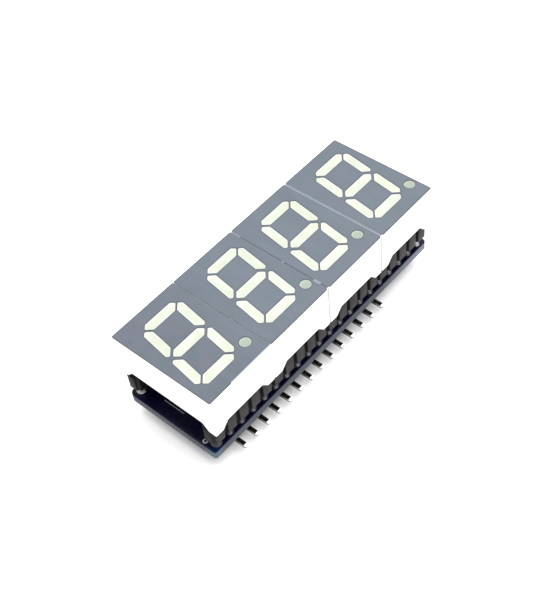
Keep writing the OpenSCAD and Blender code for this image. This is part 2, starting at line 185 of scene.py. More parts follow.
class Graph:
    """The node tree of one material, with a Principled shader at its end."""

    def __init__(self, name: str) -> None:
        """Start a material.

        Args:
            name: The material's name.
        """
        self.material = bpy.data.materials.new(name)
        self.material.use_nodes = True
        self.tree = self.material.node_tree
        self.tree.nodes.clear()
        self.shader = self.node("ShaderNodeBsdfPrincipled")
        self.node("ShaderNodeOutputMaterial", {}, {"Surface": self.shader.outputs[0]})
        self.place = self.node("ShaderNodeTexCoord").outputs["Object"]
        parts = self.node("ShaderNodeSeparateXYZ", {}, {"Vector": self.place})
        self.x, self.y, self.z = (Number(self, out) / MM for out in parts.outputs)

    def node(
        self,
        kind: str,
        settings: Optional[dict[str, Any]] = None,
        inputs: Optional[dict[Union[int, str], Any]] = None,
    ) -> bpy.types.Node:
        """Add one node.

        Args:
            kind: The node's type.
            settings: The node's own properties, which are set first.
            inputs: Values or links for its sockets, by name or place.

        Returns:
            The new node.
        """
        made = self.tree.nodes.new(kind)
        for key, value in (settings or {}).items():
            setattr(made, key, value)
        for key, value in (inputs or {}).items():
            self._feed(made.inputs[key], value)
        return made

    def _feed(self, socket: bpy.types.NodeSocket, value: Any) -> None:
        """Link or set one input.

        Args:
            socket: The input.
            value: A Number, an output socket, a colour or a plain value.
        """
        source = getattr(value, "socket", value)
        if isinstance(source, bpy.types.NodeSocket):
            self.tree.links.new(source, socket)
        elif socket.type == "RGBA":
            socket.default_value = (*source, 1.0)
        else:
            socket.default_value = source

    def noise(
        self, per_mm: float, detail: float = 2.0, stretch: Sequence[float] = (1, 1, 1)
    ) -> Number:
        """Add fractal noise.

        Args:
            per_mm: How many features there are in a millimetre.
            detail: The number of finer octaves.
            stretch: How much finer the noise is along X, Y and Z.

        Returns:
            The noise, from 0 to 1.
        """
        scaled = self.node(
            "ShaderNodeVectorMath",
            {"operation": "MULTIPLY"},
            {0: self.place, 1: tuple(s * per_mm / MM for s in stretch)},
        )
        made = self.node(
            "ShaderNodeTexNoise", {}, {"Vector": scaled.outputs[0], "Scale": 1.0, "Detail": detail}
        )
        return Number(self, made.outputs[0])

    def attribute(self, name: str) -> Number:
        """Return a number stored on the mesh."""
        made = self.node("ShaderNodeAttribute", {"attribute_name": name})
        return Number(self, made.outputs["Fac"])

    def blend(self, factor: Value, first: Paint, second: Paint) -> bpy.types.NodeSocket:
        """Return first where factor is 0 and second where it is 1."""
        made = self.node("ShaderNodeMix", {"data_type": "RGBA"}, {0: factor, 6: first, 7: second})
        return made.outputs[2]

    def finish(
        self, colour: Paint, roughness: Value, relief: Optional[Number] = None, **fixed: float
    ) -> None:
        """Feed the Principled shader.

        Args:
            colour: The base colour.
            roughness: The roughness.
            relief: A height in millimetres that shapes the surface.
            fixed: Values for sockets that are the same all over the surface.
        """
        sockets = self.shader.inputs
        self._feed(sockets["Base Color"], colour)
        self._feed(sockets["Roughness"], roughness)
        if relief is not None:
            bump = self.node(
                "ShaderNodeBump", {}, {"Height": relief, "Distance": MM, "Strength": 1.0}
            )
            self._feed(sockets["Normal"], bump.outputs[0])
        for key, value in fixed.items():
            self._feed(sockets[key.replace("_", " ")], value)


def shade(colour: Colour, factor: float) -> Colour:
    """Return a colour made darker or lighter by a factor."""
    return tuple(min(1.0, channel * factor) for channel in colour)


# ---- Finishes, in millimetres ----


class Metal(Enum):
    """The base metals in the assembly, by the colour they show."""

    TIN = (0.72, 0.72, 0.74)
    SOLDER = (0.62, 0.62, 0.64)


@dataclass(frozen=True)
class Finish:
    """A procedural finish, which becomes the material of its name."""

    name: str

    def material(self) -> bpy.types.Material:
        """Build the material.

        Returns:
            The new material.
        """
        graph = Graph(self.name)
        self.paint(graph)
        return graph.material

    def paint(self, graph: Graph) -> None:
        """Add the finish's own nodes to its graph."""
        raise NotImplementedError


@dataclass(frozen=True)
class MouldedPlastic(Finish):
    """Moulded plastic with faint flow mottling and a fine eroded grain."""

    colour: Colour
    roughness: float = 0.45
    mottle: float = 0.06
    grain_height: float = 0.004
    grain_sheen: float = 0.2

    def paint(self, graph: Graph) -> None:
        """Mottle the colour and roughen the surface.

        Args:
            graph: The material's graph.
        """
        grain = graph.noise(9.0)
        roughness = self.roughness + (grain - 0.5) * self.grain_sheen
        graph.finish(self.tint(graph), roughness, grain * self.grain_height)

    def tint(self, graph: Graph) -> bpy.types.NodeSocket:
        """Mottle the colour.

        Args:
            graph: The material's graph.

        Returns:
            The mottled colour.
        """
        pale, deep = shade(self.colour, 1 + self.mottle), shade(self.colour, 1 - self.mottle)
        return graph.blend(graph.noise(0.35, 3.0), deep, pale)


@dataclass(frozen=True)
class CaseWhite(MouldedPlastic):
    """White moulded case, with painted shade on its walls beside the joints where two modules
    meet.
    """

    shaded_joints: Pair = field(kw_only=True)
    seam: Pair = (0.3, 0.04)
    seam_shade: float = 0.66

    def tint(self, graph: Graph) -> bpy.types.NodeSocket:
        """Paint shade on the walls beside the shaded joints.

        Args:
            graph: The material's graph.

        Returns:
            The mottled white, with the painted shade over it.
        """
        # painted shade: the walls turn grey close to the two shaded joints
        seam = graph.x.to_either(*self.shaded_joints).ramp(*self.seam)
        return graph.blend(seam * self.seam_shade, super().tint(graph), shade(self.colour, 0.5))


@dataclass(frozen=True)
class PlatedMetal(Finish):
    """Plated or drawn metal with faint tarnish and tool lines."""

    metal: Metal
    roughness: float = 0.3
    tarnish: float = 0.25
    lines: Sequence[float] = (1, 1, 1)
    line_height: float = 0.002

    def paint(self, graph: Graph) -> None:
        """Tarnish the metal and draw its tool lines.

        Args:
            graph: The material's graph.
        """
        dull = graph.noise(1.6, 3.0)
        lines = graph.noise(12.0, 1.0, self.lines)
        colour = graph.blend(
            dull * self.tarnish * 2, self.metal.value, shade(self.metal.value, 0.6)
        )
        roughness = self.roughness + (lines - 0.5) * 0.15 + dull * 0.1
        graph.finish(colour, roughness, lines * self.line_height, Metallic=1.0)


@dataclass(frozen=True)
class TurnedCollar(Finish):
    """Plated turned contacts, with a painted highlight up each collar where it faces out and
    painted shade round its sides.

    Three end contacts carry a raised ring and a wider painted highlight. The one at the front left
    has deeper painted shade.
    """

    metal: Metal
    first: float
    pitch: float
    board_top: float
    # colour of the painted shade on the collars
    collar_shade: Colour = (0.02, 0.02, 0.035)
    end_contact: Pair = (1.33, 0.73)
    rear_left_highlight: Pair = (0.07, 0.27)
    highlight_shift: float = -0.2
    highlight_half: Pair = (0.12, 0.28)
    lit_end_widening: float = 0.1
    collar_foot: Pair = (0.2, 0.05)
    side_shade: float = 0.93
    near_shade: float = 0.8
    row_shade: float = 0.6
    roughness: float = 0.42
    metallic: float = 0.6
    line_height: float = 0.002

    def paint(self, graph: Graph) -> None:
        """Paint shade on the collars, with a painted highlight stripe up each.

        Args:
            graph: The material's graph.
        """
        lines = graph.noise(12.0, 1.0, (0.1, 0.1, 1.0))
        rear, front = graph.y.ramp(-1.0, 1.0), graph.y.ramp(1.0, -1.0)
        from_left, from_right = graph.x - self.first, graph.x + self.first
        left = from_left.ramp(*self.end_contact)
        right = from_right.ramp(*(-reach for reach in self.end_contact))
        near = left * front
        # the three end contacts with raised rings, whose painted highlight is wider and whose
        # painted shade is lighter
        lit_end = right.most(left * rear)
        # painted highlight: a bright stripe up each collar where it faces out
        stripe = graph.x.to_nearest(self.first + self.highlight_shift, self.pitch)
        side = (stripe - lit_end * self.lit_end_widening).ramp(*self.highlight_half)
        outmost = from_left.ramp(*(-reach for reach in self.rear_left_highlight)) * rear
        side = side * (1.0 - outmost)
        above = (self.board_top - graph.z).ramp(*self.collar_foot)
        # painted shade round the collars' sides, deeper on the front left end contact and on every
        # contact without a raised ring
        dull = side * self.side_shade * (1.0 - near)
        dull = dull.most(near * self.near_shade) * above
        dull = dull.most((1.0 - lit_end) * self.row_shade) + lines * 0.05
        colour = graph.blend(dull, shade(self.metal.value, 0.8), self.collar_shade)
        roughness = self.roughness + lines * 0.1
        graph.finish(colour, roughness, lines * self.line_height, Metallic=self.metallic)


@dataclass(frozen=True)
class HeaderPin(Finish):
    """Square plated pins, with a painted highlight at the tip and painted shade towards the board
    and along two edges.
    """

    metal: Metal
    tip: float
    low: float
    high: float
    # colour of the painted shade on the pins
    pin_shade: Colour = (0.03, 0.032, 0.02)
    flash: Pair = (0.75, 0.25)
    fade: Pair = (1.9, 0.3)
    flash_share: float = 0.65
    lower_edge: Pair = (0.3, 0.12)
    upper_edge: Pair = (0.16, 0.08)
    upper_edge_back: Pair = (0.2, 0.45)
    underside: Pair = (0.01, 0.04)
    edge_shade: float = 0.95
    roughness: float = 0.2
    line_height: float = 0.003

    def paint(self, graph: Graph) -> None:
        """Paint shade on the pins except at their tips and undersides.

        Args:
            graph: The material's graph.
        """
        drawn = graph.noise(12.0, 1.0, (1.0, 0.05, 1.0))
        back, up, down = graph.y - self.tip, graph.z - self.low, self.high - graph.z
        # painted highlight near the tip
        bright = back.ramp(*self.flash) * self.flash_share
        bright = bright + back.ramp(*self.fade) * (1.0 - self.flash_share)
        # painted shade along the lower and upper edges and towards the board, kept off the
        # underside
        sole = up.ramp(*self.lower_edge) * self.edge_shade
        crown = down.ramp(*self.upper_edge) * back.ramp(*self.upper_edge_back) * self.edge_shade
        pin_shading = (1.0 - bright).most(sole).most(crown) * up.ramp(*self.underside)
        colour = graph.blend(pin_shading, self.metal.value, self.pin_shade)
        roughness = self.roughness + drawn * 0.12
        graph.finish(colour, roughness, drawn * self.line_height, Metallic=1.0)


@dataclass(frozen=True)
class StripPlastic(Finish):
    """Black moulded strips: faintly mottled ribs, with painted shade in the grooves and on the
    strips' inner sides.
    """

    colour: Colour
    row: float
    rib_face: float
    groove_depth: Pair = (0.015, 0.06)
    groove_shade: float = 0.85
    inner_side: Pair = (0.5, 1.0)
    inner_shade: float = 0.8
    roughness: float = 0.55
    grain_height: float = 0.008
    gloss: float = 0.1

    def paint(self, graph: Graph) -> None:
        """Paint shade into the grooves and onto the strips' inner sides.

        Args:
            graph: The material's graph.
        """
        flow = graph.noise(0.9, 3.0)
        grain = graph.noise(9.0)
        # painted shade in the grooves and on the strips' inner sides
        depth = self.rib_face - abs(abs(graph.y) - self.row)
        groove = depth.ramp(*self.groove_depth) * self.groove_shade
        inner = (self.row - abs(graph.y)).ramp(*self.inner_side) * self.inner_shade
        rib = graph.blend(flow.ramp(0.3, 0.7), shade(self.colour, 0.8), shade(self.colour, 1.2))
        colour = graph.blend(groove.most(inner), rib, shade(self.colour, 0.1))
        roughness = self.roughness + (grain - 0.5) * 0.2
        relief = grain * self.grain_height
        graph.finish(colour, roughness, relief, Specular_IOR_Level=self.gloss)


@dataclass(frozen=True)
class BareLine:
    """A stretch of a joint where the print stops short and the white case shows."""

    joint: int
    half_width: float
    soft: float
    middle: float
    half_length: float
    fade: float
    strength: float

    def over(self, graph: Graph, joints: Sequence[float]) -> Number:
        """Say how bare the case is.

        Args:
            graph: The material's graph.
            joints: The places of the joints along X.

        Returns:
            The line's strength on it and 0 elsewhere.
        """
        across = graph.x.band(joints[self.joint], self.half_width, self.soft)
        along = graph.y.band(self.middle, self.half_length, self.fade)
        return across * along * self.strength


# All of the last joint, then the head, the foot and a speck of the one before it
BARE_LINES = (
    BareLine(2, 0.1, 0.03, 0.0, 10.0, 0.1, 0.75),
    BareLine(1, 0.075, 0.03, 8.6, 0.9, 0.15, 0.8),
    BareLine(1, 0.12, 0.03, -7.4, 0.62, 0.06, 0.75),
    BareLine(1, 0.1, 0.05, -0.9, 0.12, 0.08, 0.6),
)


@dataclass(frozen=True)
class FacePrint(Finish):
    """Grey layer screened on the modules' faces, darker and warmer towards its outer edges, and
    with painted shade round the strokes' openings.
    """

    colour: Colour
    # darker, warmer colour for the print's outer edges and for the painted shade round the
    # openings
    end: Colour
    bare: Colour
    joints: Sequence[float]
    half_width: float
    half_depth: float
    chipped: Colour = (0.8, 0.8, 0.8)
    warmth: Colour = (1.14, 0.98, 1.04)
    lit_from: float = -9.0
    lit_to: float = 5.0
    outer_edge: Pair = (-0.2, -0.06)
    outer_dark: float = 0.7
    opening_shade: float = 0.6
    raggedness: float = 0.05
    short_run: Pair = (-8.35, -8.2)
    short_end: Pair = (0.2, 0.0)
    short_gap: Pair = (0.15, 0.11)
    chip: Pair = (0.25, 0.19)
    chip_spread: float = 0.6
    roughness: float = 0.5
    grain_height: float = 0.004
    thickness: float = 0.02
    gloss: float = 0.3

    def paint(self, graph: Graph) -> None:
        """Lay the ink, and leave it out at the joints and chipped corners.

        Args:
            graph: The material's graph.
        """
        grain = graph.noise(7.0)
        ragged = (grain - 0.5) * self.raggedness
        pale = self._pale(graph, ragged)
        colour = graph.blend(pale, self._ink(graph), self.bare)
        colour = graph.blend(self._chips(graph, ragged), colour, self.chipped)
        roughness = self.roughness + (grain - 0.5) * 0.18
        relief = grain * self.grain_height - pale * self.thickness
        graph.finish(colour, roughness, relief, Specular_IOR_Level=self.gloss)

    def _ink(self, graph: Graph) -> bpy.types.NodeSocket:
        """Mix the ink's colour.

        Args:
            graph: The material's graph.

        Returns:
            The colour.
        """
        cloud = graph.noise(0.12, 3.0).ramp(0.3, 0.7)
        patches = graph.noise(0.4).ramp(0.4, 0.6)
        sweep = graph.noise(0.5, 2.0, (1.0, 0.18, 1.0)).ramp(0.45, 0.75)
        lit = (graph.x - self.joints[0]).ramp(self.lit_from, self.lit_to)
        warm = tuple(channel * warmth for channel, warmth in zip(self.colour, self.warmth))
        ink = graph.blend(cloud, shade(self.colour, 0.92), shade(self.colour, 1.02))
        ink = graph.blend(patches * 0.7, ink, warm)
        ink = graph.blend(sweep * 0.35 + lit * 0.4, ink, shade(self.colour, 1.22))
        past_edge = (abs(graph.y) - self.half_depth).most(abs(graph.x) - self.half_width)
        outer = past_edge.ramp(*self.outer_edge) * self.outer_dark
        # painted shade round every stroke's opening, on the bead laid there
        opening = graph.attribute(RIM) * self.opening_shade
        return graph.blend(opening.most(outer), ink, self.end)

    def _pale(self, graph: Graph, ragged: Number) -> Number:
        """Find where the print stops short of an edge.

        Args:
            graph: The material's graph.
            ragged: A small wander of the print's edge.

        Returns:
            A number that is 0 where the print is whole.
        """
        along = graph.x - self.joints[0]
        run = along.ramp(*self.short_run) * along.ramp(*self.short_end)
        pale = run * (graph.y + self.half_depth + ragged).ramp(*self.short_gap)
        for line in BARE_LINES:
            pale = pale.most(line.over(graph, self.joints))
        return pale

    def _chips(self, graph: Graph, ragged: Number) -> Number:
        """Find the corners at the joints where the print is chipped off the case.

        Args:
            graph: The material's graph.
            ragged: A small wander of the print's edge.

        Returns:
            A number that is 1 on a chip and 0 elsewhere.
        """
        aside = graph.x.to_either(*self.joints[1:]) * self.chip_spread
        from_corner = aside + abs(abs(graph.y) - self.half_depth) + ragged
        return from_corner.ramp(*self.chip)


@dataclass(frozen=True)
class CastResin(Finish):
    """Milky diffusing resin, whiter against its well and duller in the decimal point."""

    heart: Colour
    rim: Colour
    dull: Colour
    roughness: float = 0.3
    ripple_height: float = 0.006
    coat: float = 0.1

    def paint(self, graph: Graph) -> None:
        """Whiten the rims of the strokes and dull the points.

        Args:
            graph: The material's graph.
        """
        rim = graph.attribute(RIM)
        cloud = graph.noise(0.55, 3.0).ramp(0.35, 0.75)
        ripple = graph.noise(3.5)
        milk = graph.blend((rim * 0.8 + cloud * 0.35).least(1.0), self.heart, self.rim)
        point = graph.blend(rim * 0.9, self.dull, shade(self.dull, 1.35))
        colour = graph.blend(graph.attribute(POINT), milk, point)
        roughness = self.roughness + (ripple - 0.5) * 0.12
        graph.finish(colour, roughness, ripple * self.ripple_height, Coat_Weight=self.coat)


@dataclass(frozen=True)
class Laminate(Finish):
    """Glass fibre board: glossy dark resist on both faces and pale cut fibres along the edges."""

    resist: Colour
    edge: Colour
    # colour of the painted reflection on the resist near the near left corner
    thin: Colour
    corner_glare_edge: Colour
    low: Vector
    high: Vector
    film_below: Pair = (0.02, 0.06)
    film_above: Pair = (0.1, 0.3)
    core_rise: float = 0.1
    core_half: float = 0.05
    core_soft: float = 0.12
    corner_glare_reach: Pair = (2.6, 0.4)
    far_reach: float = 14.0
    roughness: float = 0.25
    cut_roughness: float = 0.35
    film_height: float = 0.0015
    weave_height: float = 0.02
    gloss: float = 0.12

    def paint(self, graph: Graph) -> None:
        """Film the faces and lay the cut edges bare.

        Args:
            graph: The material's graph.
        """
        low, high = self.low / MM, self.high / MM
        flow = graph.noise(0.8)
        weave = graph.noise(2.2, 3.0, (1.0, 1.0, 0.1))
        up, down = graph.z - low.z, high.z - graph.z
        cut = up.ramp(*self.film_below) * down.ramp(*self.film_above)
        # painted reflection: the resist turns paler blue and the cut edges lighter towards the
        # near left corner
        corner_glare = (graph.x - low.x + (graph.y - low.y)).ramp(*self.corner_glare_reach)
        film = graph.blend(flow, shade(self.resist, 0.8), shade(self.resist, 1.3))
        film = graph.blend(corner_glare * 0.3, film, self.thin)
        colour = graph.blend(cut, film, self._fibre(graph, weave, corner_glare))
        roughness = self.roughness + flow * 0.06 + cut * self.cut_roughness
        relief = flow * self.film_height + weave * cut * self.weave_height
        graph.finish(colour, roughness, relief, Specular_IOR_Level=self.gloss)

    def _fibre(self, graph: Graph, weave: Number, corner_glare: Number) -> bpy.types.NodeSocket:
        """Mix the colour of the cut edges.

        Args:
            graph: The material's graph.
            weave: The pattern of the cloth.
            corner_glare: How strong the painted reflection near the near left corner is.

        Returns:
            The colour.
        """
        low, high = self.low / MM, self.high / MM
        plies = graph.noise(5.0, 1.0, (0.12, 0.12, 1.6))
        middle = (low.z + high.z) / 2 + self.core_rise
        core = graph.z.band(middle, self.core_half, self.core_soft)
        far = graph.x.ramp(high.x - self.far_reach, high.x)
        threads = weave * 0.6 + plies * 0.4
        fibre = graph.blend(threads, shade(self.edge, 0.75), shade(self.edge, 1.25))
        fibre = graph.blend(core * 0.35, fibre, shade(self.edge, 0.45))
        fibre = graph.blend(far * 0.75, fibre, shade(self.edge, 2.5))
        # painted reflection on the cut edges near the near left corner
        return graph.blend(corner_glare * 0.55, fibre, self.corner_glare_edge)


@dataclass(frozen=True)
class Ink(Finish):
    """Legend ink: flat colour with ragged, slightly thin patches."""

    colour: Colour
    roughness: float = 0.5
    height: float = 0.006

    def paint(self, graph: Graph) -> None:
        """Thin the ink in patches.

        Args:
            graph: The material's graph.
        """
        thin = graph.noise(5.0, 3.0)
        colour = graph.blend(thin.ramp(0.35, 0.75), self.colour, shade(self.colour, 0.7))
        graph.finish(colour, self.roughness + (thin - 0.5) * 0.2, thin * self.height)


@dataclass(frozen=True)
class Backdrop(Finish):
    """Smooth pale paper under the object."""

    colour: Colour
    roughness: float = 0.8

    def paint(self, graph: Graph) -> None:
        """Tint the paper very faintly."""
        tint = graph.blend(graph.noise(0.05), self.colour, shade(self.colour, 0.995))
        graph.finish(tint, self.roughness)


# ---- Mesh helpers ----


def cad_copy(node: str) -> bmesh.types.BMesh:
    """Copy a CAD node's mesh, with its triangles joined into flat faces.

    Args:
        node: The node's name.

    Returns:
        The copy, which the caller frees.
    """
    mesh = bmesh.new()
    mesh.from_mesh(bpy.data.objects[node].data)
    bmesh.ops.remove_doubles(mesh, verts=mesh.verts, dist=CAD_WELD)
    bmesh.ops.dissolve_limit(
        mesh,
        angle_limit=FLAT,
        verts=mesh.verts,
        edges=mesh.edges,
        use_dissolve_boundaries=False,
        delimit={"NORMAL"},
    )
    return mesh


@dataclass(frozen=True)
class Outline:
    """The upright sides of a box, and how far inside them an edge still counts as on them."""

    low: Vector
    high: Vector
    margin: float

    def holds(self, edge: bmesh.types.BMEdge) -> bool:
        """Say whether an edge lies on the outline.

        Args:
            edge: The edge.

        Returns:
            Whether both its ends are close to a side.
        """
        sides = [(axis, limit[axis]) for axis in (0, 1) for limit in (self.low, self.high)]
        insets = [min(abs(vert.co[axis] - side) for axis, side in sides) for vert in edge.verts]
        return max(insets) < self.margin


def soften(
    mesh: bmesh.types.BMesh,
    width: float,
    outline: Optional[Outline] = None,
    least_angle: float = 40.0,
) -> None:
    """Round the sharp edges of a mesh.

    Args:
        mesh: The mesh, which is changed.
        width: How far each rounding reaches.
        outline: Where edges are rounded, or None for everywhere.
        least_angle: The smallest turn, in degrees, that counts as an edge.
    """
    limit = math.radians(least_angle)
    edges = [
        edge
        for edge in mesh.edges
        if len(edge.link_faces) == 2
        and edge.calc_face_angle(0.0) > limit
        and (outline is None or outline.holds(edge))
    ]
    bmesh.ops.bevel(
        mesh,
        geom=edges,
        offset=width,
        offset_type="OFFSET",
        affect="EDGES",
        segments=2,
        profile=0.5,
        material=-1,
        clamp_overlap=True,
    )


def place_piece(
    mesh: bmesh.types.BMesh, name: str, material: bpy.types.Material, smooth_below: float = 35.0
) -> bpy.types.Object:
    """Turn a bmesh into an object that rides on the one body.

    Args:
        mesh: The mesh, which is freed.
        name: The object's name.
        material: Its material.
        smooth_below: Edges that turn less than this many degrees are shaded smooth.

    Returns:
        The new object.
    """
    data = bpy.data.meshes.new(name)
    mesh.to_mesh(data)
    mesh.free()
    data.shade_smooth()
    data.set_sharp_from_angle(angle=math.radians(smooth_below))
    data.materials.append(material)
    piece = bpy.data.objects.new(name, data)
    bpy.context.scene.collection.objects.link(piece)
    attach(piece, "root")
    LOG.info("%s: %d faces", name, len(data.polygons))
    return piece


def dress(node: str, material: bpy.types.Material) -> None:
    """Give a CAD node its material.

    Args:
        node: The node's name.
        material: The material.
    """
    data = bpy.data.objects[node].data
    data.materials.clear()
    data.materials.append(material)
    LOG.info("%s: %s", node, material.name)


def size_of(node: str) -> tuple[Vector, Vector]:
    """Return the low and high corners of a CAD node."""
    low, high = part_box(node)
    return Vector(low), Vector(high)


def raise_faces(
    mesh: bmesh.types.BMesh, faces: Sequence[bmesh.types.BMFace], height: float
) -> None:
    """Give flat faces a thickness.

    Args:
        mesh: The mesh that holds the faces.
        faces: The faces, which stay as the lower side.
        height: The thickness, which is negative downwards.
    """
    lifted = bmesh.ops.extrude_face_region(mesh, geom=faces)
    verts = [part for part in lifted["geom"] if isinstance(part, bmesh.types.BMVert)]
    bmesh.ops.translate(mesh, vec=(0, 0, height), verts=verts)


def add_ring(
    mesh: bmesh.types.BMesh, centre: Vector, inner: float, outer: float, height: float
) -> None:
    """Add a washer with a chamfered top.

    Args:
        mesh: The mesh that it is added to.
        centre: The middle of its underside.
        inner: Its inner radius.
        outer: Its outer radius.
        height: Its thickness, which is negative for a washer that hangs below centre.
    """
    chamfer = 0.2
    across, down = (outer - inner) * chamfer, height * chamfer
    profile = [
        (inner, 0.0),
        (inner, height - down),
        (inner + across, height),
        (outer - across, height),
        (outer, 0.0),
    ]
    verts = [mesh.verts.new(centre + Vector((radius, 0, rise))) for radius, rise in profile]
    edges = [mesh.edges.new(pair) for pair in zip(verts, verts[1:] + verts[:1])]
    bmesh.ops.spin(
        mesh,
        geom=verts + edges,
        cent=centre,
        axis=(0, 0, 1),
        dvec=(0, 0, 0),
        angle=math.tau,
        steps=RING_STEPS,
        use_merge=True,
        use_normal_flip=False,
        use_duplicate=False,
    )


def add_line(
    mesh: bmesh.types.BMesh, points: Sequence[Vector], width: float, height: float
) -> None:
    """Add a flat band with mitred bends along points at one level.

    Args:
        mesh: The mesh that it is added to.
        points: The middle of the band's underside, from end to end.
        width: The band's width.
        height: Its thickness.
    """
    pairs = []
    for i, point in enumerate(points):
        before = (point - points[i - 1]).normalized() if i else (points[1] - point).normalized()
        after = (points[i + 1] - point).normalized() if i + 1 < len(points) else before
        along = (before + after).normalized()
        across = Vector((-along.y, along.x, 0)) * (width / 2 / along.dot(before))
        pairs.append((mesh.verts.new(point + across), mesh.verts.new(point - across)))
    faces = [mesh.faces.new((a, b, d, c)) for (a, b), (c, d) in zip(pairs, pairs[1:])]
    raise_faces(mesh, faces, height)


def sort_by_place(mesh: bmesh.types.BMesh) -> None:
    """Put a mesh's parts in the same order in every run.

    Args:
        mesh: The mesh, which an extrude or a spin has left in a chance order.
    """
    mesh.verts.sort(key=lambda vert: vert.co.dot(SORT_ALONG))
    mesh.edges.sort(key=lambda edge: (edge.verts[0].co + edge.verts[1].co).dot(SORT_ALONG))
    mesh.faces.sort(key=lambda face: face.calc_center_bounds().dot(SORT_ALONG))


def point_outwards(mesh: bmesh.types.BMesh) -> None:
    """Merge doubles, turn every face outwards and sort the parts."""
    bmesh.ops.remove_doubles(mesh, verts=mesh.verts, dist=NEW_WELD)
    bmesh.ops.recalc_face_normals(mesh, faces=mesh.faces)
    sort_by_place(mesh)


# ---- Sub-assemblies ----


@dataclass(frozen=True)
class DishStep:
    """One slope of the shallow dish in a stroke, and how close to the rim its floor counts."""

    inset: float
    drop: float
    rim: float


@dataclass
class DisplayModule:
    """One white display block: case, printed face, resin strokes and what closes it below."""

    number: int
    finishes: Materials
    edge_round: float = 0.09 * MM
    outline_margin: float = 0.07 * MM
    bead_width: float = 0.135 * MM
    bead_height: float = 0.01 * MM
    dish: Sequence[DishStep] = (
        DishStep(0.09 * MM, 0.014 * MM, 0.8),
        DishStep(0.08 * MM, 0.007 * MM, 0.6),
    )
    heart: DishStep = DishStep(0.12 * MM, 0.004 * MM, 0.1)
    corner_merge: float = 0.1 * MM

    def named(self, part: str) -> str:
        """Return the name of one of this module's pieces."""
        return f"digit_{self.number}_{part}"

    def build(self) -> None:
        """Model and dress the module."""
        self._case()
        self._lay_opening_shade()
        self._strokes()
        for part, finish in (
            ("mask", "print"),
            ("dies", "die"),
            ("lead_board", "inner_board"),
            ("backfill", "potting"),
            ("leads", "wire"),
        ):
            dress(self.named(part), self.finishes[finish])

    def _case(self) -> None:
        """Replace the case by a copy whose outer edges are rounded as a moulding's are."""
        walls = Outline(*size_of(self.named("case")), self.outline_margin)
        mesh = cad_copy(self.named("case"))
        soften(mesh, self.edge_round, walls)
        piece = place_piece(mesh, self.named("housing"), self.finishes["white"])
        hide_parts(self.named("case"))

    def _flat_tops(self, mesh: bmesh.types.BMesh) -> list[bmesh.types.BMFace]:
        """Find the tops of the strokes.

        Args:
            mesh: A copy of the light guides.

        Returns:
            Its upper faces, one to a stroke.
        """
        top = size_of(self.named("light_guides"))[1].z
        return [
            face
            for face in mesh.faces
            if face.normal.z > UPWARDS and abs(face.calc_center_median().z - top) < LEVEL
        ]

    def _lay_opening_shade(self) -> None:
        """Lay a thin bead of print round every stroke's opening, which carries the painted shade
        there.
        """
        mesh = cad_copy(self.named("light_guides"))
        tops = self._flat_tops(mesh)
        others = [face for face in mesh.faces if face not in tops]
        bmesh.ops.delete(mesh, geom=others, context="FACES")
        rim = mesh.verts.layers.float.new(RIM)
        for vert in mesh.verts:
            vert[rim] = 1.0
        for face in tops:
            bmesh.ops.inset_region(
                mesh,
                faces=[face],
                thickness=-self.bead_width,
                use_even_offset=True,
                use_boundary=True,
            )
            for vert in face.verts:
                vert[rim] = 0.5
        bmesh.ops.delete(mesh, geom=tops, context="FACES_ONLY")
        step = size_of(self.named("mask"))[1].z - size_of(self.named("light_guides"))[1].z
        bmesh.ops.translate(mesh, vec=(0, 0, step), verts=mesh.verts)
        raise_faces(mesh, mesh.faces[:], self.bead_height)
        bmesh.ops.recalc_face_normals(mesh, faces=mesh.faces)
        sort_by_place(mesh)
        piece = place_piece(mesh, self.named("opening_shade_bead"), self.finishes["print"])

    def _sink(self, mesh: bmesh.types.BMesh, face: bmesh.types.BMFace, step: DishStep) -> None:
        """Sink the middle of a face.

        Args:
            mesh: The mesh that holds the face.
            face: The face, which becomes the sunk middle.
            step: The slope round it.
        """
        bmesh.ops.inset_region(
            mesh, faces=[face], thickness=step.inset, depth=-step.drop, use_even_offset=True
        )
        rim = mesh.verts.layers.float[RIM]
        for vert in face.verts:
            vert[rim] = step.rim

    def _strokes(self) -> None:
        """Replace the light guides by a copy with a dish where the resin sank as it set."""
        mesh = cad_copy(self.named("light_guides"))
        rim = mesh.verts.layers.float.new(RIM)
        point = mesh.verts.layers.float.new(POINT)
        tops = self._flat_tops(mesh)
        smallest = min(tops, key=lambda face: face.calc_area())
        for face in tops:
            for vert in face.verts:
                vert[rim] = 1.0
                vert[point] = float(face is smallest)
            for step in self.dish:
                self._sink(mesh, face, step)

        def on_floor(vert: bmesh.types.BMVert) -> bool:
            """Say whether a vertex bounds the floor of a dish."""
            return abs(vert[rim] - self.dish[-1].rim) < 0.01

        floor_verts = [vert for vert in mesh.verts if on_floor(vert)]
        bmesh.ops.remove_doubles(mesh, verts=floor_verts, dist=self.corner_merge)
        floors = [face for face in mesh.faces if all(map(on_floor, face.verts))]
        for face in floors:
            self._sink(mesh, face, self.heart)
        piece = place_piece(mesh, self.named("strokes"), self.finishes["resin"], 60.0)
        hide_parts(self.named("light_guides"))


class Side(Enum):
    """The two rows of contacts."""

    FRONT = "front"
    REAR = "rear"


@dataclass
class SocketStrip:
    """A black moulded strip with its turned contacts and their solder joints."""

    side: Side
    finishes: Materials
    edge_round: float = 0.07 * MM

    def build(self) -> None:
        """Model and dress the strip."""
        side = self.side.value
        mesh = cad_copy(f"{side}_socket")
        soften(mesh, self.edge_round, least_angle=30.0)
        piece = place_piece(mesh, f"{side}_strip", self.finishes["strip"])
        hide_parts(f"{side}_socket")
        dress(f"{side}_contacts", self.finishes["contact"])
        dress(f"{side}_solder", self.finishes["solder"])


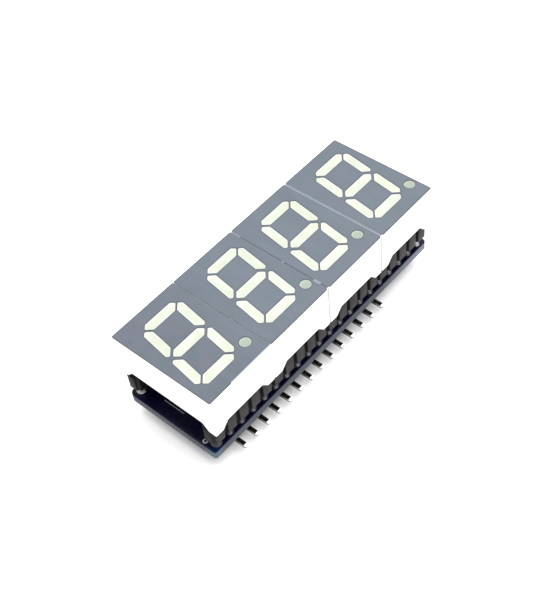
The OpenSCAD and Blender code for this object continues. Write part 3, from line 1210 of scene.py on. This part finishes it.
@dataclass
class CircuitBoard:
    """The dark blue board with its pads, raised rings that carry a painted highlight on three end
    contacts, and legend.
    """

    finishes: Materials
    edge_round: float = 0.05 * MM
    outline_margin: float = 0.3 * MM
    pad_inner: float = 0.4 * MM
    pad_outer: float = 0.82 * MM
    pad_height: float = 0.04 * MM
    highlight_ring_height: float = 0.16 * MM
    legend_height: float = 0.02 * MM
    outline_gap: float = 0.4 * MM
    outline_width: float = 0.3 * MM
    line_width: float = 0.12 * MM
    line_from_left: float = 2.25 * MM
    line_ends: Pair = (-0.5 * MM, 3.5 * MM)
    via_place: Pair = (0.7 * MM, 2.55 * MM)
    via_radii: Pair = (0.2 * MM, 0.42 * MM)
    via_height: float = 0.03 * MM
    low: Vector = field(init=False)
    high: Vector = field(init=False)

    def build(self) -> None:
        """Model and dress the board."""
        self.low, self.high = size_of("circuit_board")
        mesh = cad_copy("circuit_board")
        soften(mesh, self.edge_round, Outline(self.low, self.high, self.outline_margin))
        piece = place_piece(mesh, "board", self.finishes["board"])
        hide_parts("circuit_board")
        self._pads()
        self._legend()

    def _contact_columns(self, side: Side) -> list[Vector]:
        """Find the contacts of one strip.

        Args:
            side: The strip's side.

        Returns:
            The contacts' places along the row, at the level of the floor.
        """
        low, high = size_of(f"{side.value}_contacts")
        radius = (high.y - low.y) / 2
        first, last = low.x + radius, high.x - radius
        gaps = len(DIGITS) * LEADS_PER_ROW - 1
        return [
            Vector((first + (last - first) * i / gaps, (low.y + high.y) / 2, 0.0))
            for i in range(gaps + 1)
        ]

    def _pads(self) -> None:
        """Add the plated rings round every contact, and raised rings on three end contacts that
        carry the collars' painted highlight.
        """
        under_pads, top_pads, highlight_rings = bmesh.new(), bmesh.new(), bmesh.new()
        for side in Side:
            columns = self._contact_columns(side)
            for column in columns:
                under = column + Vector((0, 0, self.low.z))
                top = column + Vector((0, 0, self.high.z))
                add_ring(under_pads, under, self.pad_inner, self.pad_outer, -self.pad_height)
                add_ring(top_pads, top, self.pad_inner, self.pad_outer, self.pad_height)
                # raised rings on three end contacts, in the collars' finish, to carry a painted
                # highlight
                if column is columns[-1] or (column is columns[0] and side is Side.REAR):
                    add_ring(highlight_rings, top, self.pad_inner, self.pad_outer, self.highlight_ring_height)
        for mesh, name, finish in (
            (under_pads, "under_pads", "pad"),
            (top_pads, "top_pads", "contact"),
            (highlight_rings, "end_highlight_rings", "contact"),
        ):
            point_outwards(mesh)
            place_piece(mesh, name, self.finishes[finish])

    def _legend(self) -> None:
        """Print the capacitor's outline, and a line and a via's ring by the first module."""
        mesh = bmesh.new()
        low, high = size_of("capacitor_straps")
        gap, level = self.outline_gap, self.high.z
        left, right = low.x - gap - self.outline_width, high.x + gap
        corners = [
            Vector((right, low.y - gap, level)),
            Vector((left, low.y - gap, level)),
            Vector((left, high.y + gap, level)),
            Vector((right, high.y + gap, level)),
        ]
        add_line(mesh, corners, self.outline_width, self.legend_height)
        ends = [Vector((self.low.x + self.line_from_left, y, level)) for y in self.line_ends]
        add_line(mesh, ends, self.line_width, self.legend_height)
        from_left, from_front = self.via_place
        via = Vector((self.low.x + from_left, self.low.y + from_front, level))
        add_ring(mesh, via, *self.via_radii, self.via_height)
        point_outwards(mesh)
        piece = place_piece(mesh, "legend", self.finishes["legend"])


@dataclass
class PinHeader:
    """The right-angle header below the board."""

    finishes: Materials
    edge_round: float = 0.08 * MM

    def build(self) -> None:
        """Model and dress the header."""
        mesh = cad_copy("header_body")
        soften(mesh, self.edge_round, least_angle=30.0)
        piece = place_piece(mesh, "header_block", self.finishes["header"])
        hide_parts("header_body")
        dress("header_pins", self.finishes["pin"])
        dress("header_solder", self.finishes["solder"])


@dataclass
class SurfaceParts:
    """Resistors, transistors and the capacitor on the board."""

    finishes: Materials

    def build(self) -> None:
        """Dress the parts."""
        for node, finish in (
            ("series_resistors", "glaze"),
            ("series_resistor_ends", "tinned_end"),
            ("base_resistors", "glaze"),
            ("base_resistor_ends", "tinned_end"),
            ("transistors", "epoxy"),
            ("transistor_leads", "tinned_end"),
            ("capacitor", "tantalum"),
            ("capacitor_straps", "tinned_end"),
        ):
            dress(node, self.finishes[finish])


@dataclass
class Studio:
    """Pale floor, soft light and the camera."""

    floor_half: float = 1.5
    paper: Colour = (0.92, 0.92, 0.92)
    key_power: float = 6.5
    key_size: float = 0.8
    key_place: Vector = field(default_factory=lambda: Vector((0.14, -0.04, 0.6)))
    sky: float = 1.05
    lens_mm: float = 64.965
    sensor_mm: float = 36.0
    eye: Vector = field(default_factory=lambda: Vector((-76.195, -76.327, 135.194)) * MM)
    aim: Vector = field(default_factory=lambda: Vector((-1.670, 1.070, 8.671)) * MM)
    roll: float = math.radians(-7.2)

    def build(self) -> None:
        """Make the floor, the light, the sky and the camera."""
        self._floor()
        self._key()
        self._sky()
        self._camera()
        bpy.context.scene.view_settings.view_transform = "Standard"

    def _floor(self) -> None:
        """Lay the floor under the object."""
        mesh = bmesh.new()
        bmesh.ops.create_grid(mesh, x_segments=1, y_segments=1, size=self.floor_half)
        data = bpy.data.meshes.new("floor")
        mesh.to_mesh(data)
        mesh.free()
        data.materials.append(Backdrop("paper", self.paper).material())
        floor = bpy.data.objects.new("floor", data)
        bpy.context.scene.collection.objects.link(floor)

    def _key(self) -> None:
        """Hang a large square light that faces the object."""
        data = bpy.data.lights.new("key", "AREA")
        data.energy = self.key_power
        data.size = self.key_size
        light = bpy.data.objects.new("key", data)
        light.location = self.key_place
        light.rotation_euler = (self.aim - self.key_place).to_track_quat("-Z", "Y").to_euler()
        bpy.context.scene.collection.objects.link(light)

    def _sky(self) -> None:
        """Surround the object with even white light."""
        world = bpy.data.worlds.new("studio")
        world.use_nodes = True
        background = world.node_tree.nodes["Background"]
        background.inputs["Color"].default_value = (1.0, 1.0, 1.0, 1.0)
        background.inputs["Strength"].default_value = self.sky
        bpy.context.scene.world = world

    def _camera(self) -> None:
        """Set up the camera."""
        data = bpy.data.cameras.new("camera")
        data.lens = self.lens_mm
        data.sensor_width = self.sensor_mm
        data.clip_start = 10 * MM
        camera = bpy.data.objects.new("camera", data)
        turn = (self.aim - self.eye).to_track_quat("-Z", "Y").to_matrix().to_4x4()
        roll = Matrix.Rotation(self.roll, 4, "Z")
        camera.matrix_world = Matrix.Translation(self.eye) @ turn @ roll
        bpy.context.scene.collection.objects.link(camera)
        bpy.context.scene.camera = camera


# ---- The finishes of this assembly ----


def block_finishes() -> dict[str, Finish]:
    """Choose the display blocks' finishes.

    Returns:
        The finishes, by the name that the sub-assemblies use.
    """
    face_high = size_of(f"digit_{DIGITS[-1]}_mask")[1] / MM
    joints = [
        (size_of(f"digit_{i}_mask")[1].x + size_of(f"digit_{i + 1}_mask")[0].x) / 2 / MM
        for i in DIGITS[:-1]
    ]
    return {
        "white": CaseWhite(
            # painted shade on the case beside the last two joints
            "reflector_white", (0.86, 0.86, 0.855), 0.42, 0.015, shaded_joints=tuple(joints[1:])
        ),
        "print": FacePrint(
            "face_print",
            colour=(0.080, 0.099, 0.120),
            end=(0.048, 0.047, 0.041),
            bare=(0.38, 0.42, 0.47),
            joints=joints,
            half_width=face_high.x,
            half_depth=face_high.y,
        ),
        "resin": CastResin(
            "stroke_resin",
            heart=(0.384, 0.41, 0.324),
            rim=(0.51, 0.52, 0.50),
            dull=(0.215, 0.25, 0.21),
        ),
        "die": MouldedPlastic("led_die", (0.6, 0.6, 0.25), 0.3),
        "inner_board": MouldedPlastic("inner_board", (0.02, 0.12, 0.05), 0.3),
        "potting": MouldedPlastic("potting_resin", (0.78, 0.76, 0.66), 0.25, mottle=0.08),
        "wire": PlatedMetal("lead_wire", Metal.TIN, 0.3, 0.3, lines=(1, 1, 0.05)),
    }


def board_finishes() -> dict[str, Finish]:
    """Choose the finishes of the board and of what it carries.

    Returns:
        The finishes, by the name that the sub-assemblies use.
    """
    board_low, board_high = size_of("circuit_board")
    strip_low, strip_high = size_of("front_socket")
    contact_low, contact_high = size_of("front_contacts")
    contact_radius = (contact_high.y - contact_low.y) / 2
    contact_run = contact_high.x - contact_low.x - 2 * contact_radius
    pin_low = size_of("header_pins")[0]
    return {
        # black strips with painted shade in their grooves and on their inner sides
        "strip": StripPlastic(
            "strip_plastic",
            (0.030, 0.027, 0.027),
            row=abs(strip_low.y + strip_high.y) / 2 / MM,
            rib_face=(strip_high.y - strip_low.y) / 2 / MM,
        ),
        # collars with a painted highlight stripe and painted shade round their sides
        "contact": TurnedCollar(
            "contact_plating",
            Metal.TIN,
            first=(contact_low.x + contact_radius) / MM,
            pitch=contact_run / (len(DIGITS) * LEADS_PER_ROW - 1) / MM,
            board_top=board_high.z / MM,
        ),
        "solder": PlatedMetal("solder_metal", Metal.SOLDER, 0.22, 0.3),
        "pad": PlatedMetal("pad_plating", Metal.TIN, 0.2, 0.2),
        "board": Laminate(
            "board_laminate",
            resist=(0.0012, 0.0014, 0.012),
            edge=(0.066, 0.073, 0.089),
            # the resist's painted reflection near the near left corner
            thin=(0.004, 0.03, 0.12),
            corner_glare_edge=(0.10, 0.16, 0.19),
            low=board_low,
            high=board_high,
        ),
        "legend": Ink("legend_ink", (0.30, 0.30, 0.36)),
        "header": MouldedPlastic("header_plastic", (0.018, 0.018, 0.018), 0.4, 0.1, 0.008),
        # pins with a painted highlight at the tip and painted shade towards the board
        "pin": HeaderPin(
            "pin_plating",
            Metal.TIN,
            tip=pin_low.y / MM,
            low=pin_low.z / MM,
            high=(pin_low.z + PIN_SIDE) / MM,
        ),
        "glaze": MouldedPlastic("resistor_glaze", (0.02, 0.02, 0.022), 0.25),
        "tinned_end": PlatedMetal("tinned_end", Metal.TIN, 0.35, 0.35),
        "epoxy": MouldedPlastic("transistor_epoxy", (0.025, 0.025, 0.025), 0.5),
        "tantalum": MouldedPlastic("capacitor_epoxy", (0.60, 0.36, 0.05), 0.4),
    }


def main() -> None:
    """Build the display module's looks, the studio and the camera."""
    logging.basicConfig(level=logging.INFO, format="%(name)s: %(message)s")
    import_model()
    chosen = {**block_finishes(), **board_finishes()}
    finishes = {use: finish.material() for use, finish in chosen.items()}
    for number in DIGITS:
        DisplayModule(number, finishes).build()
    for side in Side:
        SocketStrip(side, finishes).build()
    CircuitBoard(finishes).build()
    PinHeader(finishes).build()
    SurfaceParts(finishes).build()
    Studio().build()


if __name__ == "__main__":
    main()
